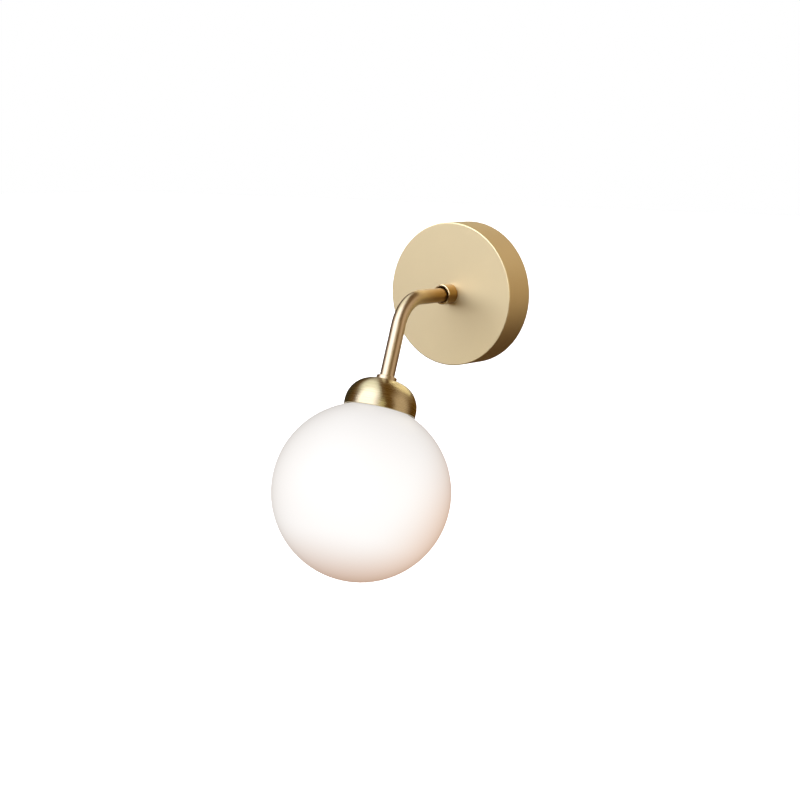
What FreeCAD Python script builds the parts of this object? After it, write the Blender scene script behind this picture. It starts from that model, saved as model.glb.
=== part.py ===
import FreeCAD, Part
import math
import os
import re
import Sketcher
from FreeCAD import Placement, Rotation, Vector

# Globe wall sconce. Millimetres, +Z up. The wall is the plane Y = 0, the lamp stands out towards -Y,
# X = 0 is its plane of symmetry, and the origin is the centre of the wall plate's wall face.
# Pieces on the wall are drawn in the wall frame: local z is the distance out from the wall, y is up.
# Pieces on the lower leg are drawn in the head frame: local z runs down the leg from the arm's corner.

DIMENSIONS = [
    ("canopy_radius", 50), ("canopy_depth", 25), ("canopy_wall", 1.5), ("canopy_front", 2),
    ("canopy_edge", 0.8), ("canopy_hole_radius", 5.4),
    ("collar_radius", 7), ("collar_length", 10), ("collar_bore_radius", 5.65), ("collar_edge", 0.5),
    ("collar_lift", 0.35), ("grub_radius", 1.5),
    ("arm_radius", 5), ("arm_bore_radius", 4), ("arm_start", 8.6), ("arm_reach", 78.5),
    ("arm_tilt", 20), ("arm_bend_radius", 26), ("arm_end", 67.6),
    ("thread_hole_radius", 5.1), ("nut_across_flats", 14), ("nut_height", 3), ("star_thick", 0.8),
    ("star_radius", 8), ("tag_thick", 0.8),
    ("plate_radius", 44), ("plate_thick", 2), ("cable_hole_radius", 12),
    ("slot_spacing", 66), ("slot_length", 9), ("slot_half_width", 2.25),
    ("bridge_top", 16), ("bridge_thick", 2), ("bridge_half_span", 15), ("bridge_foot", 9),
    ("bridge_half_width", 9), ("bridge_bend", 1), ("rivet_radius", 1.6), ("rivet_head_radius", 3),
    ("rivet_x", 20), ("rivet_y", 5),
    ("block_y", 25), ("block_length", 15), ("block_height", 13.5), ("block_base", 8),
    ("pole_pitch", 9), ("pole_width", 8.4), ("barrel_height", 7), ("barrel_radius", 2.5),
    ("barrel_bore_radius", 1.5), ("barrel_length", 14), ("clamp_pitch", 7), ("clamp_radius", 1.4),
    ("earth_y", 27), ("earth_screw_radius", 2), ("earth_head_radius", 4), ("earth_head_height", 2.6),
    ("lead_radius", 0.9), ("lead_gap", 1.25), ("lead_turn", 4),
    ("ring_radius", 6.9), ("ring_height", 2.6), ("ring_edge", 0.4),
    ("cap_top", 57), ("cap_flat_radius", 6.7), ("cap_curve", 17.8), ("cap_rim", 78.4),
    ("cap_wall", 1.2),
    ("gallery_radius", 19.2), ("gallery_curve", 5.7), ("gallery_wall", 0.8), ("gallery_rim", 75.5),
    ("gallery_lip", 1.4),
    ("globe_radius", 60), ("globe_wall", 2.5), ("globe_centre", 134), ("neck_radius", 18),
    ("neck_wall", 2.5), ("neck_top", 67.6), ("seal_width", 2.4), ("seal_height", 1.1),
    ("holder_back", 74), ("holder_face", 89), ("holder_half_width", 8.3), ("holder_half_depth", 6.5),
    ("holder_corner", 2), ("lug_height", 4), ("lug_radius", 6), ("lug_screw_x", 11.2),
    ("holder_cover_thick", 1.4), ("strap_half_width", 4), ("strap_thick", 1), ("strap_reach", 14.2),
    ("strap_eye_radius", 8.5),
    ("pin_spacing", 9), ("pin_thick", 0.8), ("pin_width", 2.6), ("pin_length", 6.4),
    ("contact_thick", 0.3), ("contact_gap", 0.9), ("contact_width", 3.2), ("contact_length", 10),
    ("lamp_radius", 7.8), ("lamp_base_top", 100), ("lamp_top", 132), ("lamp_wall", 0.8),
    ("lamp_flat", 6), ("stick_width", 8), ("stick_thick", 1), ("stick_length", 22),
    ("bush_bore_radius", 2.8), ("bush_flange", 1), ("bush_depth", 6),
]

document = FreeCAD.newDocument("globe_wall_sconce")
sheet = document.addObject("Spreadsheet::Sheet", "dims")
nodes = {}


def fill_sheet():
    """Write each driving dimension and its alias into the sheet."""
    for row, (alias, size) in enumerate(DIMENSIONS, start=1):
        sheet.set(f"A{row}", alias)
        sheet.set(f"B{row}", str(size))
        sheet.setAlias(f"B{row}", alias)
    document.recompute()


def bound(formula):
    """Turn a formula on the dimensions' names into an expression on the sheet."""
    names = {alias for alias, _ in DIMENSIONS}
    return re.sub(r"[a-z_]+", lambda word: f"dims.{word[0]}" if word[0] in names else word[0], str(formula))


def number(formula):
    """The value of a formula on the dimensions' names."""
    return float(sheet.evalExpression(bound(formula)))


def stand(item, frame):
    """Stand a piece in the wall frame or in the head frame."""
    item.Placement = Placement(Vector(), Rotation(Vector(1, 0, 0), 90))
    if frame == "head":
        item.setExpression("Placement.Base.y", bound("-arm_reach"))
        item.setExpression("Placement.Rotation.Angle", bound("180 - arm_tilt"))
    return item


def keep(name, item, frame):
    """Name a finished piece and stand it in its frame."""
    item.Label = name
    nodes[name] = stand(item, frame)
    return item


# Sketches and features

def new_sketch(body, plane="XY_Plane", height="0"):
    """A sketch on one of the body's own planes, moved out along its normal."""
    sketch = body.newObject("Sketcher::SketchObject", "Sketch")
    origin_plane = next(item for item in body.Origin.OriginFeatures if item.Role == plane)
    sketch.AttachmentSupport = (origin_plane, [""])
    sketch.MapMode = "FlatFace"
    sketch.setExpression("AttachmentOffset.Base.z", bound(height))
    return sketch


def pin_point(sketch, geometry, point, x, y):
    """Fix a sketch point at distances bound to the sheet."""
    for kind, formula in (("DistanceX", x), ("DistanceY", y)):
        if formula is None:
            continue
        index = sketch.addConstraint(
            Sketcher.Constraint(kind, -1, 1, geometry, point, number(formula)))
        sketch.setExpression(f"Constraints[{index}]", bound(formula))


def circle(sketch, radius, x="0", y="0"):
    """Draw a circle whose radius and centre are bound to the sheet."""
    centre = Vector(number(x), number(y), 0)
    index = sketch.addGeometry(Part.Circle(centre, Vector(0, 0, 1), number(radius)))
    pin_point(sketch, index, 3, x, y)
    ring = sketch.addConstraint(Sketcher.Constraint("Radius", index, number(radius)))
    sketch.setExpression(f"Constraints[{ring}]", bound(radius))


def outline(sketch, corners):
    """Draw a closed profile. A corner is (x, y), and where the run after it is an arc it also gives
    the arc's centre and whether the arc turns left or right."""
    first = sketch.GeometryCount
    points = [Vector(number(corner[0]), number(corner[1]), 0) for corner in corners]
    starts, ends = [], []
    for index, corner in enumerate(corners):
        start, end = points[index], points[(index + 1) % len(points)]
        turns_right = len(corner) > 2 and corner[4] == "right"
        starts.append(2 if turns_right else 1)
        ends.append(1 if turns_right else 2)
        if len(corner) == 2:
            sketch.addGeometry(Part.LineSegment(start, end))
            continue
        centre = Vector(number(corner[2]), number(corner[3]), 0)
        low, high = (end, start) if turns_right else (start, end)
        angles = [math.atan2(tip.y - centre.y, tip.x - centre.x) for tip in (low, high)]
        round_line = Part.Circle(centre, Vector(0, 0, 1), (start - centre).Length)
        sketch.addGeometry(Part.ArcOfCircle(round_line, *angles))
    for index, corner in enumerate(corners):
        after = (index + 1) % len(corners)
        sketch.addConstraint(Sketcher.Constraint(
            "Coincident", first + index, ends[index], first + after, starts[after]))
        pin_point(sketch, first + index, starts[index], corner[0], corner[1])
        if len(corner) > 2:
            chord = points[after] - points[index]
            steep = abs(chord.y) >= abs(chord.x)
            pin_point(sketch, first + index, 3, corner[2] if steep else None,
                      None if steep else corner[3])


def rectangle(sketch, left, low, right, high):
    """Draw a rectangle with its edges bound to the sheet."""
    outline(sketch, [(left, low), (right, low), (right, high), (left, high)])


def slot(sketch, reach, radius, x="0", y="0"):
    """Draw a round-ended slot along the sketch's x, from its centre out to reach each way."""
    left, right = f"{x} - ({reach}) + {radius}", f"{x} + ({reach}) - {radius}"
    low, high = f"{y} - {radius}", f"{y} + {radius}"
    outline(sketch, [(left, low), (right, low, right, y, "left"), (right, high), (left, high, left, y, "left")])


def new_body():
    """An empty body that may hold several like solids."""
    return document.addObject("PartDesign::Body", "Body")


def pad(body, sketch, length, midplane=False):
    """Raise a sketch along its normal, or equally to both sides."""
    feature = body.newObject("PartDesign::Pad", "Pad")
    feature.Profile = sketch
    feature.setExpression("Length", bound(length))
    if midplane:
        feature.SideType = "Symmetric"
    return feature


def pocket(body, sketch, length=None, up=False):
    """Cut a sketch down against its normal, up along it, or with no length through both ways."""
    feature = body.newObject("PartDesign::Pocket", "Pocket")
    feature.Profile = sketch
    if length is None:
        feature.SideType = "Symmetric"
        feature.Type = "ThroughAll"
    else:
        feature.setExpression("Length", bound(length))
        feature.Reversed = up
    return feature


def polar(body, feature, count):
    """Repeat a feature round the body's z axis."""
    pattern = body.newObject("PartDesign::PolarPattern", "PolarPattern")
    pattern.Originals = [feature]
    axis = next(item for item in body.Origin.OriginFeatures if item.Role == "Z_Axis")
    pattern.Axis = (axis, [""])
    pattern.Angle = 360
    pattern.Occurrences = count
    body.Tip = pattern
    return pattern


def turned(name, frame, corners):
    """A turned piece: a profile of radius and height revolved round the local z axis."""
    body = new_body()
    sketch = new_sketch(body, "XZ_Plane")
    outline(sketch, corners)
    feature = body.newObject("PartDesign::Revolution", "Revolution")
    feature.Profile = sketch
    feature.ReferenceAxis = (sketch, ["V_Axis"])
    feature.Angle = 360
    return keep(name, body, frame)


# Primitives and booleans

def primitive(kind, sizes, x="0", y="0", z="0", turn=None):
    """A primitive with its sizes and place bound to the sheet, turned first about an axis."""
    item = document.addObject(kind, kind.split("::")[1])
    if turn:
        item.Placement = Placement(Vector(), Rotation(Vector(*turn[0]), turn[1]))
    for key, formula in list(sizes.items()) + [(f"Placement.Base.{a}", f) for a, f in zip("xyz", (x, y, z))]:
        item.setExpression(key, bound(formula))
    return item


def cylinder(radius, height, x="0", y="0", z="0", turn=None):
    return primitive("Part::Cylinder", {"Radius": radius, "Height": height}, x, y, z, turn)


def cone(low_radius, high_radius, height, x="0", y="0", z="0", turn=None):
    return primitive("Part::Cone", {"Radius1": low_radius, "Radius2": high_radius, "Height": height},
                     x, y, z, turn)


def box(wide, deep, high, x="0", y="0", z="0"):
    """A box centred on x and y, standing on z."""
    sizes = {"Length": wide, "Width": deep, "Height": high}
    return primitive("Part::Box", sizes, f"{x} - ({wide}) / 2", f"{y} - ({deep}) / 2", z)


def joined(*items):
    fuse = document.addObject("Part::MultiFuse", "Fuse")
    fuse.Shapes = list(items)
    return fuse


def cut(base, *tools):
    result = document.addObject("Part::Cut", "Cut")
    result.Base = base
    result.Tool = tools[0] if len(tools) == 1 else joined(*tools)
    return result


def shared(first, second):
    result = document.addObject("Part::Common", "Common")
    result.Base, result.Tool = first, second
    return result


def group(name, frame, items):
    """Like pieces kept in one node as separate solids."""
    compound = document.addObject("Part::Compound", "Group")
    compound.Links = items
    return keep(name, compound, frame)


# Fasteners and other bought pieces

def hex_nut(seat, side=1):
    """A thin lock nut with one chamfered face. It stands on seat and rises, or with side -1 hangs."""
    corner = "nut_across_flats / sqrt(3)"
    spread = "nut_across_flats / 2 + 1.6 * nut_height"
    crown = "nut_across_flats / 2 - 0.2"
    low = seat if side == 1 else f"{seat} - nut_height"
    prism = primitive("Part::Prism", {"Circumradius": corner, "Height": "nut_height"}, z=low)
    prism.Polygon = 6
    radii = (spread, crown) if side == 1 else (crown, spread)
    chamfered = shared(prism, cone(*radii, "nut_height", z=low))
    return cut(chamfered, cylinder("arm_radius + 0.05", "nut_height", z=low))


def star_washer(name, frame, seat, radius):
    """A shakeproof washer with teeth round its outside."""
    body = new_body()
    ring = new_sketch(body, height=seat)
    circle(ring, radius)
    circle(ring, "thread_hole_radius")
    pad(body, ring, "star_thick")
    gap = new_sketch(body, height=seat)
    root, tip = f"{radius} - 0.45 * ({radius} - thread_hole_radius)", f"{radius} + 1"
    outline(gap, [(root, "-0.5"), (tip, "-0.9"), (tip, "0.9"), (root, "0.5")])
    polar(body, pocket(body, gap), 12)
    return keep(name, body, frame)


def slotted_screw(x, y, seat, tip, radius, head_radius, head_height):
    """A screw whose head stands on seat, with a slot across it. The head rises away from the tip."""
    rises = number(seat) > number(tip)
    shank_low = tip if rises else seat
    head_low = seat if rises else f"{seat} - ({head_height})"
    radii = (head_radius, f"0.75 * {head_radius}") if rises else (f"0.75 * {head_radius}", head_radius)
    slot_low = f"{seat} + {head_height} - 1" if rises else f"{seat} - ({head_height})"
    length = f"{seat} - ({tip})" if rises else f"{tip} - ({seat})"
    head = cone(*radii, head_height, x, y, head_low)
    body = joined(cylinder(radius, length, x, y, shank_low), head)
    return cut(body, box(f"3 * {head_radius}", "0.8", "1", x, y, slot_low))


def ring_tag(hole, rim, reach, x, y, z, angle):
    """A crimped ring tag: a flat eye, its tongue and the barrel that holds the lead."""
    barrel = "lead_radius + 0.45"
    eye = cylinder(rim, "tag_thick")
    tongue = box(f"{reach} - {rim} + 1", "2.4", "tag_thick", f"({reach} + {rim} - 1) / 2")
    turn = ((0, 1, 0), 90)
    sleeve = cylinder(barrel, "4", f"{reach} - 4.5", z=f"tag_thick + {barrel} - 0.3", turn=turn)
    bore = cylinder("lead_radius + 0.05", "6", f"{reach} - 5", z=f"tag_thick + {barrel} - 0.3", turn=turn)
    tag = cut(joined(eye, tongue, sleeve), cylinder(hole, "tag_thick"), bore)
    tag.Placement = Placement(Vector(), Rotation(Vector(0, 0, 1), angle))
    for axis, formula in zip("xyz", (x, y, z)):
        tag.setExpression(f"Placement.Base.{axis}", bound(formula))
    return tag


# Wall side

def wall_plate():
    """Pressed steel disc on the wall: cable hole, two wall slots, rivet holes and tapped holes."""
    body = new_body()
    disc = new_sketch(body)
    circle(disc, "plate_radius")
    circle(disc, "cable_hole_radius")
    pad(body, disc, "plate_thick")
    wall_slot = new_sketch(body)
    slot(wall_slot, "slot_length / 2", "slot_half_width", x="slot_spacing / 2")
    polar(body, pocket(body, wall_slot), 2)
    holes = new_sketch(body)
    for side_x in ("rivet_x", "-rivet_x"):
        for side_y in ("rivet_y", "-rivet_y"):
            circle(holes, "rivet_radius", side_x, side_y)
    for side_x in ("pole_pitch / 2", "-pole_pitch / 2"):
        circle(holes, "grub_radius", side_x, "-block_y")
    circle(holes, "earth_screw_radius", "0", "earth_y")
    pocket(body, holes)
    return keep("wall_plate", body, "wall")


def arm_bridge():
    """Bent steel strap that stands on the plate and carries the end of the arm."""
    body = new_body()
    strap = new_sketch(body, "XZ_Plane")
    foot = "bridge_half_span + bridge_foot"
    inner, outer = "bridge_half_span - bridge_thick", "bridge_half_span"
    low, high = "plate_thick", "plate_thick + bridge_thick"
    under, top, bend = "bridge_top - bridge_thick", "bridge_top", "bridge_bend"
    outline(strap, [
        (foot, low), (foot, high), (outer, high), (outer, f"{top} - {bend}", f"{outer} - {bend}",
                                                   f"{top} - {bend}", "left"),
        (f"{outer} - {bend}", top), (f"-({outer} - {bend})", top, f"-({outer} - {bend})",
                                     f"{top} - {bend}", "left"),
        (f"-{outer}", f"{top} - {bend}"), (f"-{outer}", high), (f"-({foot})", high), (f"-({foot})", low),
        (f"-({inner})", low), (f"-({inner})", under), (inner, under), (inner, low)])
    pad(body, strap, "2 * bridge_half_width", midplane=True)
    holes = new_sketch(body)
    circle(holes, "thread_hole_radius")
    for side_x in ("rivet_x", "-rivet_x"):
        for side_y in ("rivet_y", "-rivet_y"):
            circle(holes, "rivet_radius", side_x, side_y)
    pocket(body, holes)
    return keep("arm_bridge", body, "wall")


def bridge_rivets():
    """Four rivets that hold the bridge's feet to the plate."""
    seat = "plate_thick + bridge_thick"
    rivets = []
    for side_x in ("rivet_x", "-rivet_x"):
        for side_y in ("rivet_y", "-rivet_y"):
            shank = cylinder("rivet_radius", seat, side_x, side_y)
            head = cone("rivet_head_radius", "0.6 * rivet_head_radius", "1.2", side_x, side_y, seat)
            rivets.append(joined(shank, head))
    return group("bridge_rivets", "wall", rivets)


def terminal_block():
    """Three-pole nylon block: a base, a tower for each pole, barrel bores and screw wells."""
    low = "plate_thick"
    poles = ("-pole_pitch", "0", "pole_pitch")
    solid = [box("2 * pole_pitch + pole_width", "block_length", "block_base", y="-block_y", z=low)]
    for x in poles:
        solid.append(box("pole_width", "block_length", "block_height", x, "-block_y", low))
    holes = []
    for x in poles:
        holes.append(cylinder("barrel_radius + 0.05", "block_length + 2", x,
                              "-block_y + block_length / 2 + 1", "barrel_height", ((1, 0, 0), 90)))
        for side in ("clamp_pitch / 2", "-clamp_pitch / 2"):
            holes.append(cylinder("2.1", "block_height", x, f"-block_y + {side}", "barrel_height"))
    for x in ("pole_pitch / 2", "-pole_pitch / 2"):
        holes.append(cylinder("1.6", "block_height", x, "-block_y", low))
        holes.append(cylinder("3", "block_height", x, "-block_y", f"{low} + block_base"))
    return keep("terminal_block", cut(joined(*solid), *holes), "wall")


def terminal_barrels():
    """Brass barrels that join the leads to the building's cable, one for each pole."""
    barrels = []
    for x in ("-pole_pitch", "0", "pole_pitch"):
        end = "-block_y + barrel_length / 2"
        turn = ((1, 0, 0), 90)
        tube = cylinder("barrel_radius", "barrel_length", x, end, "barrel_height", turn)
        cuts = [cylinder("barrel_bore_radius", "barrel_length", x, end, "barrel_height", turn)]
        for side in ("clamp_pitch / 2", "-clamp_pitch / 2"):
            cuts.append(cylinder("clamp_radius + 0.05", "barrel_radius + 1", x,
                                 f"-block_y + {side}", "barrel_height"))
        barrels.append(cut(tube, *cuts))
    return group("terminal_barrels", "wall", barrels)


def terminal_screws():
    """Headless clamp screws, two for each barrel, that press on the leads."""
    screws = []
    for x in ("-pole_pitch", "0", "pole_pitch"):
        for side in ("clamp_pitch / 2", "-clamp_pitch / 2"):
            y, low = f"-block_y + {side}", "barrel_height + lead_radius"
            shank = cylinder("clamp_radius", "4", x, y, low)
            screws.append(cut(shank, box("4", "0.7", "1", x, y, f"{low} + 3")))
    return group("terminal_screws", "wall", screws)


def terminal_fixing_screws():
    """Two screws that hold the terminal block to the plate."""
    seat = "plate_thick + block_base"
    screws = [slotted_screw(x, "-block_y", seat, "0.2", "grub_radius", "2.7", "2")
              for x in ("pole_pitch / 2", "-pole_pitch / 2")]
    return group("terminal_fixing_screws", "wall", screws)


def earthing():
    """Earth screw on the plate, its washer, and the ring tags of the two earth leads."""
    tags = [ring_tag("earth_screw_radius + 0.1", "4", "11", "0", "earth_y", "plate_thick", 215),
            ring_tag("earth_screw_radius + 0.1", "4", "11", "0", "earth_y",
                     "plate_thick + tag_thick", 300)]
    group("earth_ring_tags", "wall", tags)
    seat = "plate_thick + 2 * tag_thick"
    washer = cut(cylinder("4.4", "0.8", y="earth_y", z=seat),
                 cylinder("earth_screw_radius + 0.1", "0.8", y="earth_y", z=seat))
    keep("earth_washer", washer, "wall")
    screw = slotted_screw("0", "earth_y", f"{seat} + 0.8", "0.2", "earth_screw_radius",
                          "earth_head_radius", "earth_head_height")
    keep("earth_screw", screw, "wall")
    arm_tag = ring_tag("thread_hole_radius", "8", "15.5", "0", "0",
                       "bridge_top - bridge_thick - tag_thick", 75)
    group("arm_earth_tag", "wall", [arm_tag])


def arm_fixing():
    """Nuts and washer that hold the arm's threaded end to the bridge."""
    front = hex_nut("bridge_top")
    behind = hex_nut("bridge_top - bridge_thick - tag_thick - star_thick", side=-1)
    group("arm_lock_nuts", "wall", [front, behind])
    star_washer("arm_star_washer", "wall", "bridge_top - bridge_thick - tag_thick - star_thick",
                "star_radius")


def end_bush(name, frame, end, outward):
    """Plastic bush in an open tube end. It goes in from end, against the outward direction."""
    sign = "+" if outward > 0 else "-"
    back = "-" if outward > 0 else "+"
    lip, tail = f"{end} {sign} bush_flange", f"{end} {back} bush_depth"
    return turned(name, frame, [
        ("bush_bore_radius", tail), ("arm_bore_radius - 0.05", tail), ("arm_bore_radius - 0.05", end),
        ("arm_radius - 0.3", end), ("arm_radius - 0.3", lip), ("bush_bore_radius", lip)])


def canopy():
    """Deep spun cup that covers the plate, with a crisp rounded front edge."""
    inner = "canopy_radius - canopy_wall"
    floor = "canopy_depth - canopy_front"
    return turned("canopy", "wall", [
        ("canopy_hole_radius", floor), (f"{inner} - 1", floor, f"{inner} - 1", f"{floor} - 1", "right"),
        (inner, f"{floor} - 1"), (inner, "0"), ("canopy_radius", "0"),
        ("canopy_radius", "canopy_depth - canopy_edge", "canopy_radius - canopy_edge",
         "canopy_depth - canopy_edge", "left"),
        ("canopy_radius - canopy_edge", "canopy_depth"), ("canopy_hole_radius", "canopy_depth")])


def collar():
    """Lock collar on the canopy: a loose turned sleeve that sits a little high on the arm."""
    low, mouth = "canopy_depth", "canopy_depth + collar_length"
    edge = "collar_edge"
    body = turned("collar", "wall", [
        ("collar_bore_radius", low), ("collar_radius - 0.3", low), ("collar_radius", f"{low} + 0.3"),
        ("collar_radius", f"{mouth} - {edge}", f"collar_radius - {edge}", f"{mouth} - {edge}", "left"),
        (f"collar_radius - {edge}", mouth), (f"collar_bore_radius + 0.3", mouth),
        ("collar_bore_radius", f"{mouth} - 0.3")])
    hole = new_sketch(body, "XZ_Plane")
    circle(hole, "grub_radius + 0.05", "0", f"{low} + collar_length / 2")
    pocket(body, hole, "2 * collar_radius", up=True)
    body.setExpression("Placement.Base.z", bound("collar_lift"))
    return body


def collar_grub_screw():
    """Socket grub screw in the underside of the collar."""
    reach = "arm_radius + collar_lift + 0.05"
    middle = "canopy_depth + collar_length / 2"
    turn = ((1, 0, 0), 90)
    shank = cylinder("grub_radius", f"collar_radius - 0.2 - ({reach})", "0", f"-({reach})", middle, turn)
    socket = primitive("Part::Prism", {"Circumradius": "0.85", "Height": "1"},
                       "0", "-collar_radius + 1", middle, turn)
    socket.Polygon = 6
    screw = keep("collar_grub_screw", cut(shank, socket), "wall")
    screw.setExpression("Placement.Base.z", bound("collar_lift"))
    return screw


def arm_tube():
    """Bent brass tube: out of the wall, one round bend, and down the leaning leg."""
    body = new_body()
    path = new_sketch(body, "YZ_Plane")
    tangent = "arm_bend_radius * tan((90 - arm_tilt) / 2)"
    run, drop = f"arm_reach - {tangent}", f"({tangent})"
    lean_y, lean_z = "sin(arm_tilt)", "cos(arm_tilt)"
    points = [("-arm_start", "0"), (f"-({run})", "0"),
              (f"-arm_reach - {drop} * {lean_y}", f"-{drop} * {lean_z}"),
              (f"-arm_reach - arm_end * {lean_y}", f"-arm_end * {lean_z}")]
    spots = [Vector(number(a), number(b), 0) for a, b in points]
    middle = Vector(spots[1].x, -number("arm_bend_radius"), 0)
    angles = [math.atan2(spot.y - middle.y, spot.x - middle.x) for spot in (spots[1], spots[2])]
    bend = Part.Circle(middle, Vector(0, 0, 1), number("arm_bend_radius"))
    path.addGeometry(Part.LineSegment(spots[0], spots[1]))
    path.addGeometry(Part.ArcOfCircle(bend, *angles))
    path.addGeometry(Part.LineSegment(spots[2], spots[3]))
    path.addConstraint(Sketcher.Constraint("Tangent", 0, 2, 1, 1))
    path.addConstraint(Sketcher.Constraint("Tangent", 1, 2, 2, 1))
    pin_point(path, 0, 1, *points[0])
    pin_point(path, 2, 2, *points[3])
    path.addConstraint(Sketcher.Constraint("Horizontal", 0))
    for kind, formula in (("Radius", "arm_bend_radius"), ):
        index = path.addConstraint(Sketcher.Constraint(kind, 1, number(formula)))
        path.setExpression(f"Constraints[{index}]", bound(formula))
    index = path.addConstraint(Sketcher.Constraint("DistanceX", -1, 1, 1, 3, middle.x))
    path.setExpression(f"Constraints[{index}]", bound(f"-({run})"))
    section = new_sketch(body, "XZ_Plane", "arm_start")
    circle(section, "arm_radius")
    circle(section, "arm_bore_radius")
    pipe = body.newObject("PartDesign::AdditivePipe", "Pipe")
    pipe.Profile = section
    pipe.Spine = (path, ["Edge1", "Edge2", "Edge3"])
    body.Label = "arm_tube"
    nodes["arm_tube"] = body
    return body


# Leads

def wall_point(x, y, z):
    """A point of the wall frame, given by formulas, in the row's frame."""
    frame = Placement(Vector(), Rotation(Vector(1, 0, 0), 90))
    return frame.multVec(Vector(number(x), number(y), number(z)))


def head_point(x, y, z):
    """A point of the head frame, given by formulas, in the row's frame."""
    frame = Placement(Vector(0, -number("arm_reach"), 0),
                      Rotation(Vector(1, 0, 0), 180 - number("arm_tilt")))
    return frame.multVec(Vector(number(x), number(y), number(z)))


def rounded_route(points, radii):
    """A wire of straight runs with an arc at each inner point, tangent to both its runs."""
    edges = []
    start = points[0]
    for before, corner, after, radius in zip(points, points[1:], points[2:], radii):
        back = (before - corner).normalize()
        ahead = (after - corner).normalize()
        half_turn = (math.pi - back.getAngle(ahead)) / 2
        reach = radius * math.tan(half_turn)
        inward = (back + ahead).normalize()
        middle = corner + inward * (radius / math.cos(half_turn) - radius)
        arc_start, arc_end = corner + back * reach, corner + ahead * reach
        edges.append(Part.LineSegment(start, arc_start).toShape())
        edges.append(Part.Arc(arc_start, middle, arc_end).toShape())
        start = arc_end
    edges.append(Part.LineSegment(start, points[-1]).toShape())
    return Part.Wire(edges)


def lead(name, points, radii):
    """One insulated lead: a round section swept along its route."""
    route = rounded_route(points, radii)
    section = Part.Wire(Part.makeCircle(number("lead_radius"), points[0], points[1] - points[0]))
    solid = route.makePipeShell([section], True, False)
    expected = math.pi * number("lead_radius") ** 2 * route.Length
    if abs(solid.Volume - expected) > 0.02 * expected:
        raise ValueError(f"{name} is not a whole tube: {solid.Volume:.1f} of {expected:.1f}")
    item = document.addObject("Part::Feature", "Lead")
    item.Shape = solid
    item.Label = name
    nodes[name] = item
    print(name, "length", round(route.Length, 1), "radii", radii)
    return item


def lamp_leads():
    """Live and neutral leads, from the terminal block through the arm to the lampholder."""
    mouth = "-block_y + block_length / 2"
    for name, side, pole in (("live_lead", "", "pole_pitch"), ("neutral_lead", "-", "0")):
        gap = f"{side}lead_gap"
        contact = f"{side}pin_spacing / 2"
        points = [wall_point(pole, "-block_y + 1", "barrel_height"),
                  wall_point(pole, f"{mouth} + 2", "barrel_height"),
                  wall_point(gap, "0", "3.8"),
                  head_point(gap, "0", "0"),
                  head_point(gap, "0", "arm_end + 2.7"),
                  head_point(contact, "0", "holder_back - 1.6"),
                  head_point(contact, "0", "holder_back + holder_cover_thick + 1")]
        lead(name, points, [8, number("lead_turn"), number("arm_bend_radius"), 3, 3])


def earth_leads():
    """Earth lead from the block to the plate's screw, and the lead from there to the arm."""
    mouth = "-block_y + block_length / 2"
    low_tag, high_tag = (math.radians(angle) for angle in (215, 300))
    earth_y = number("earth_y")
    tag_high = number("plate_thick + tag_thick + lead_radius + 0.15")

    def along(angle, reach, height):
        return Vector(reach * math.cos(angle), -height, earth_y + reach * math.sin(angle))

    first = [wall_point("-pole_pitch", "-block_y + 1", "barrel_height"),
             wall_point("-pole_pitch", f"{mouth} + 4", "barrel_height"),
             wall_point("-pole_pitch - 1.6", "2", "5.5"),
             along(low_tag, 15, tag_high),
             along(low_tag, 7.5, tag_high)]
    lead("earth_lead", first, [12, 12, 2.5])
    arm_angle = math.radians(75)
    tag_level = number("bridge_top - bridge_thick + lead_radius + 0.15")
    second = [Vector(12 * math.cos(arm_angle), -tag_level, 12 * math.sin(arm_angle)),
              Vector(18.5 * math.cos(arm_angle), -tag_level, 18.5 * math.sin(arm_angle)),
              along(high_tag, 15, tag_high + number("tag_thick") + 4),
              along(high_tag, 13, tag_high + number("tag_thick")),
              along(high_tag, 7.5, tag_high + number("tag_thick"))]
    lead("arm_earth_lead", second, [2, 2, 1.5])


# Lamp head

def cap_ring():
    """Seating ring round the arm, on top of the cap."""
    low, high, edge = "cap_top - ring_height", "cap_top", "ring_edge"
    return turned("cap_ring", "head", [
        ("arm_radius + 0.05", low), (f"ring_radius - {edge}", low, f"ring_radius - {edge}",
                                     f"{low} + {edge}", "left"),
        ("ring_radius", f"{low} + {edge}"), ("ring_radius", high), ("arm_radius + 0.05", high)])


def dome_cap():
    """Spun brass cap: a flat crown, a quarter-round shoulder and a short straight skirt."""
    middle = "cap_top + cap_curve"
    rim_radius = "cap_flat_radius + cap_curve"
    return turned("dome_cap", "head", [
        ("thread_hole_radius", "cap_top"),
        ("cap_flat_radius", "cap_top", "cap_flat_radius", middle, "left"),
        (rim_radius, middle), (rim_radius, "cap_rim - 0.3"), (f"{rim_radius} - 0.3", "cap_rim"),
        (f"{rim_radius} - cap_wall", "cap_rim"),
        (f"{rim_radius} - cap_wall", middle, "cap_flat_radius", middle, "right"),
        ("cap_flat_radius", "cap_top + cap_wall"), ("thread_hole_radius", "cap_top + cap_wall")])


def cap_fixing():
    """Washer and nut under the cap's crown, and the nut that clamps the gallery and its strap."""
    star_washer("cap_star_washer", "head", "cap_top + cap_wall", "cap_flat_radius")
    keep("cap_lock_nut", hex_nut("cap_top + cap_wall + star_thick"), "head")
    strap = "cap_top + cap_wall + star_thick + nut_height + gallery_wall + strap_thick"
    keep("gallery_lock_nut", hex_nut(strap), "head")


GALLERY_TOP = "(cap_top + cap_wall + star_thick + nut_height)"


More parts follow.
